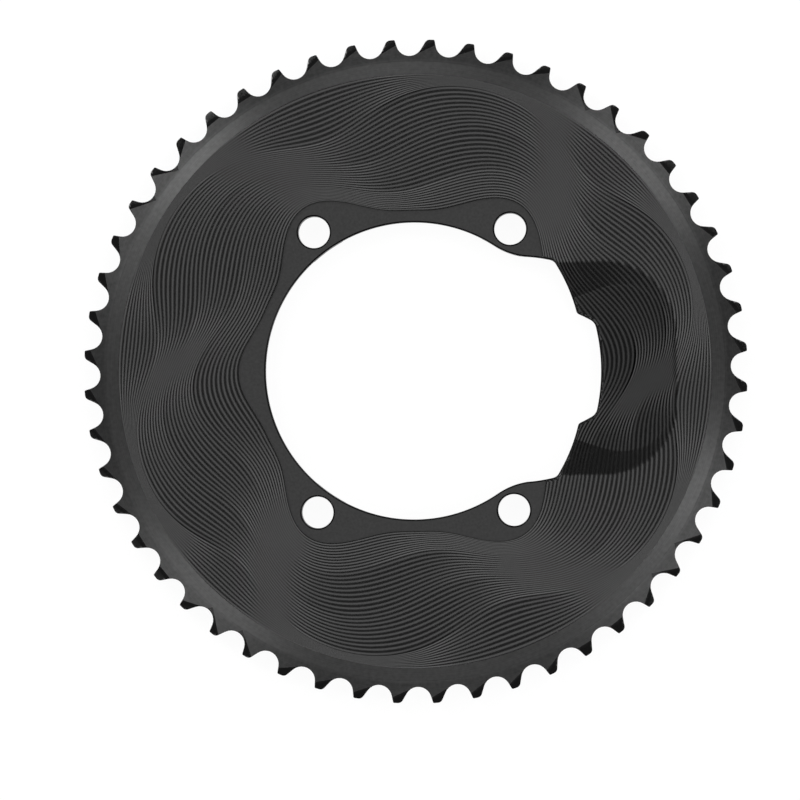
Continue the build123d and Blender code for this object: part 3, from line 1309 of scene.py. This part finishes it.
    def pad_line(self, bolt: np.ndarray, radius: float, brink_row: np.ndarray) -> np.ndarray:
        """Line of a bolt pad's edge, from the opening round the bolt and back to the opening.

        Args:
            bolt: Centre of the pad.
            radius: Radius of the line.
            brink_row: Numbers of the opening's edge on the back.

        Returns:
            The line's numbers.
        """
        around = bearing(bolt[None])[0] + np.linspace(-180, 180, self.hole_steps, endpoint=False)
        circle = bolt + polar(radius, around)
        limit = np.interp(bearing(circle), self.columns, self.brink, period=360)
        circle = circle[np.linalg.norm(circle, axis=1) > limit + self.edge_break]
        middle = self.maker.row(self.raised(circle, self.back_height(circle)))
        ends = (2 * circle[0] - circle[1], 2 * circle[-1] - circle[-2])
        near = [int(np.argmin(np.linalg.norm(self.brink_points - end, axis=1))) for end in ends]
        return np.concatenate([brink_row[near[:1]], middle, brink_row[near[1:]]])

    def ramp_lines(self) -> list[np.ndarray]:
        """Adds the upper and lower edges of the ramps.

        Returns:
            Numbers of each line.
        """
        lines = []
        middle = np.array([self.teeth.root_radius - self.pins.ramp_inset, 0])
        for angle in self.pins.ramp_angles(self.teeth):
            for inset in (0.0, self.wall_draft):
                side, end = self.pins.ramp_width / 2 - inset, self.pins.ramp_length - inset
                corners = np.array([[-side, 0], [-side, end], [side, end], [side, 0]])
                placed = spin(corners + middle, angle)
                row = self.maker.row(self.raised(placed, self.back_height(placed)))
                lines.append(np.append(row, row[0]))
        return lines

    def pin_lines(self) -> list[np.ndarray]:
        """Adds the mouths and floors of the pin holes.

        Returns:
            Numbers of each line.
        """
        lines = []
        around = np.linspace(0, 360, self.pin_steps, endpoint=False)
        for pin in self.pins.pins(self.teeth):
            for grow in (0.0, self.pin_mouth):
                circle = pin + polar(self.pins.pin_diameter / 2 + self.pins.pin_fit + grow, around)
                row = self.maker.row(self.raised(circle, self.back_height(circle)))
                lines.append(np.append(row, row[0]))
        return lines


@dataclass
class ShiftPins:
    """Four steel pins pressed into the ring's back, which lift the chain."""

    finish: SteelFinish
    teeth: Teeth
    places: PinPlaces
    web_back: float
    bevel: float = 0.4
    steps: int = 48

    def build(self) -> bpy.types.Object:
        """Builds the pins and dresses them. They have one finish, in the first material slot.

        Returns:
            The pins' object.
        """
        make = MeshMaker()
        radius = self.places.pin_diameter / 2
        low, high = self.web_back - self.places.pin_stand, self.web_back + self.places.pin_seat
        profile = (
            (0.0, low),
            (radius - self.bevel, low),
            (radius, low + self.bevel),
            (radius, high),
            (0.0, high),
        )
        around = np.linspace(0, 360, self.steps, endpoint=False)
        for pin in self.places.pins(self.teeth):
            rows = []
            for reach, height in profile:
                circle = pin + polar(reach, around)
                rows.append(make.row(np.column_stack([circle, np.full(self.steps, height)])))
            make.ladder(rows, Zone.MILLED)
        made = make.piece("steel_shift_pins", [self.finish.material()])
        self.dress(made)
        return made

    def dress(self, made: bpy.types.Object) -> None:
        """Puts the pins in place of their CAD node.

        Args:
            made: The pins' object.
        """
        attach(made, BODY)
        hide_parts("shift_pins")


@dataclass(frozen=True)
class Softbox:
    """A soft rectangular lamp that faces the ring. A level of 1 makes its face white."""

    name: str
    azimuth: float
    level: float
    width: float = 600.0
    depth: float = 700.0
    distance: float = 1300.0
    elevation: float = 24.0

    def build(self) -> None:
        """Adds the lamp to the scene."""
        data = bpy.data.lights.new(self.name, "AREA")
        data.shape = "RECTANGLE"
        data.size, data.size_y = self.width * MM, self.depth * MM
        data.energy = self.level * math.pi * self.width * self.depth * MM * MM
        made = bpy.data.objects.new(self.name, data)
        out = cos(self.elevation)
        back = Vector((cos(self.azimuth) * out, sin(self.azimuth) * out, sin(self.elevation)))
        made.location = back * self.distance * MM
        made.rotation_mode = "QUATERNION"
        made.rotation_quaternion = back.to_track_quat("Z", "Y")
        bpy.context.scene.collection.objects.link(made)


@dataclass
class Studio:
    """Pale floor, soft studio light and the camera."""

    floor_side: float = 6000.0
    floor_colour: Colour = (0.90, 0.90, 0.90)
    white_share: float = 0.94
    world_level: float = 0.20
    wall_level: float = 0.65
    wall_full: float = 30.0
    wall_top: float = 48.0
    camera_distance: float = 1000.0
    camera_tilt: float = 3.4
    camera_bearing: float = -17.0
    ring_roll: float = 0.78
    frame_width: float = 256.6
    axis_pixel: tuple[float, float] = (413.7, 370.8)
    face_height: float = 3.9
    sensor: float = 36.0
    softboxes: tuple[Softbox, ...] = (
        Softbox("overhead_softbox", 168.0, 1.65, width=1600.0, depth=1600.0, distance=4000.0, elevation=88.5),
        Softbox("upper_right_softbox", 45.0, 8.2),
        Softbox("top_softbox", 97.0, 3.4),
        Softbox("upper_left_softbox", 137.0, 13.8, width=400.0),
        Softbox("lower_left_softbox", 225.0, 4.8),
        Softbox("lower_right_softbox", 337.0, 9.8, width=400.0),
    )

    def build(self) -> None:
        """Makes the floor, the world, the lamps and the camera."""
        self.floor()
        self.world()
        for softbox in self.softboxes:
            softbox.build()
        self.camera()

    def white_on_view(self, shader: Shader, lit: bpy.types.NodeSocket) -> bpy.types.NodeSocket:
        """Shader that shows as white to the camera and in reflections, and lights the rest as it is.

        Args:
            shader: The tree to add to.
            lit: The surface's own shader.

        Returns:
            The mixed shader's socket.
        """
        white = shader.node("ShaderNodeEmission", {}, {"Color": (1.0, 1.0, 1.0, 1.0), "Strength": 1.0})
        seen = shader.rays("Is Camera Ray", "Is Glossy Ray", "Is Transmission Ray") * self.white_share
        return shader.node("ShaderNodeMixShader", {}, {0: seen, 1: lit, 2: white.outputs[0]}).outputs[0]

    def floor(self) -> None:
        """Makes the pale floor, which keeps a little of the ring's shadow."""
        half = self.floor_side / 2 * MM
        mesh = bpy.data.meshes.new("studio_floor")
        corners = [(-half, -half, 0), (half, -half, 0), (half, half, 0), (-half, half, 0)]
        mesh.from_pydata(corners, [], [(0, 1, 2, 3)])
        made = bpy.data.objects.new("studio_floor", mesh)
        bpy.context.scene.collection.objects.link(made)
        paper = bpy.data.materials.new("pale_paper")
        shader = Shader(paper)
        matt = shader.node("ShaderNodeBsdfDiffuse", {}, {"Color": (*self.floor_colour, 1.0)})
        shader.surface(self.white_on_view(shader, matt.outputs[0]))
        mesh.materials.append(paper)

    def world(self) -> None:
        """Sets the dim light all round, with paler walls below it, which the camera sees as white."""
        world = bpy.data.worlds.new("studio_world")
        bpy.context.scene.world = world
        shader = Shader(world)
        dim, wall, white = (
            shader.node("ShaderNodeBackground", {}, {"Color": (level, level, level, 1.0)}).outputs[0]
            for level in (self.world_level, self.wall_level, 1.0)
        )
        place = shader.node("ShaderNodeTexCoord", {}, {}).outputs["Generated"]
        height = shader.value("ShaderNodeSeparateXYZ", {}, {"Vector": place}, "Z")
        limits = {"From Min": sin(self.wall_top), "From Max": sin(self.wall_full)}
        low = shader.value("ShaderNodeMapRange", {}, {"Value": height, **limits}, "Result")
        room = shader.node("ShaderNodeMixShader", {}, {0: low, 1: dim, 2: wall}).outputs[0]
        seen = shader.node("ShaderNodeMixShader", {}, {0: shader.rays("Is Camera Ray"), 1: room, 2: white})
        shader.surface(seen.outputs[0], "ShaderNodeOutputWorld")

    def camera(self) -> None:
        """Adds the camera where the photograph was taken from."""
        back = Vector((
            sin(self.camera_tilt) * cos(self.camera_bearing),
            sin(self.camera_tilt) * sin(self.camera_bearing),
            cos(self.camera_tilt),
        ))
        up = Vector((sin(self.ring_roll), cos(self.ring_roll), 0.0))
        right = up.cross(back).normalized()
        up = back.cross(right)
        per_pixel = self.frame_width / IMAGE_SIDE
        shift_right = (self.axis_pixel[0] - IMAGE_SIDE / 2) * per_pixel
        shift_up = (IMAGE_SIDE / 2 - self.axis_pixel[1]) * per_pixel
        middle = Vector((0, 0, self.face_height)) - right * shift_right - up * shift_up
        place = middle + back * self.camera_distance
        data = bpy.data.cameras.new("studio_camera")
        data.sensor_width = self.sensor
        data.lens = self.sensor * self.camera_distance / self.frame_width
        made = bpy.data.objects.new("studio_camera", data)
        turn = Matrix((right, up, back)).transposed().to_4x4()
        made.matrix_world = Matrix.Translation(place * MM) @ turn
        bpy.context.scene.collection.objects.link(made)
        bpy.context.scene.camera = made


RING_FINISHES = {
    # Painted shade on the mill lines' cusps and in the pocket, painted highlight in their valleys
    Zone.MILLED: AnodisedFinish("milled_black_anodising", painted_shading_contrast=0.8),
    # Turned rim: a lighter copy of the anodising, nearly twice the web's colour, as painted highlight, and a
    # painted highlight on the band inside 99 mm against the darker tooth faces past 100.6 mm
    Zone.TURNED: AnodisedFinish(
        "turned_anodising_painted_highlight", colour=(0.096, 0.096, 0.096), variation=0.45, roughness=0.60,
        grain=800.0, anisotropy=1.0, anisotropy_turn=0.25, ring_pitch=0.3,
        painted_highlight_fade=0.15, painted_fade_start=100.6, painted_fade_end=99.0,
    ),
    Zone.PLAIN: AnodisedFinish("plain_black_anodising", roughness=0.40),
    # Painted shade: a darker copy of the anodising on the tip bevels, side walls and back edges
    Zone.BEVELLED: AnodisedFinish("bevel_anodising_painted_shade", colour=(0.030, 0.030, 0.030), roughness=0.22),
    Zone.LAND: AnodisedFinish(
        "land_black_anodising", colour=(0.053, 0.053, 0.053), variation=0.30, roughness=0.42, grain=1200.0
    ),
    # Painted shade: a near-black copy of the anodising on the broken edges
    Zone.EDGE: AnodisedFinish("edge_anodising_painted_shade", colour=(0.008, 0.008, 0.008), roughness=0.35),
}


def main() -> None:
    """Builds the ring, its pins and the studio, and keeps the CAD parts, hidden."""
    logging.basicConfig(level=logging.INFO, format="%(name)s: %(message)s")
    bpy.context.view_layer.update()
    bpy.context.scene.view_settings.view_transform = "Standard"
    ring = Chainring(RING_FINISHES, web_top=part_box("chainring")[1][2] / MM)
    pins = ShiftPins(SteelFinish(), ring.teeth, ring.pins, ring.pad_height)
    for piece in (ring.build(), pins.build()):
        LOG.info("%s rides on %s", piece.name, BODY)
    Studio().build()


if __name__ == "__main__":
    main()
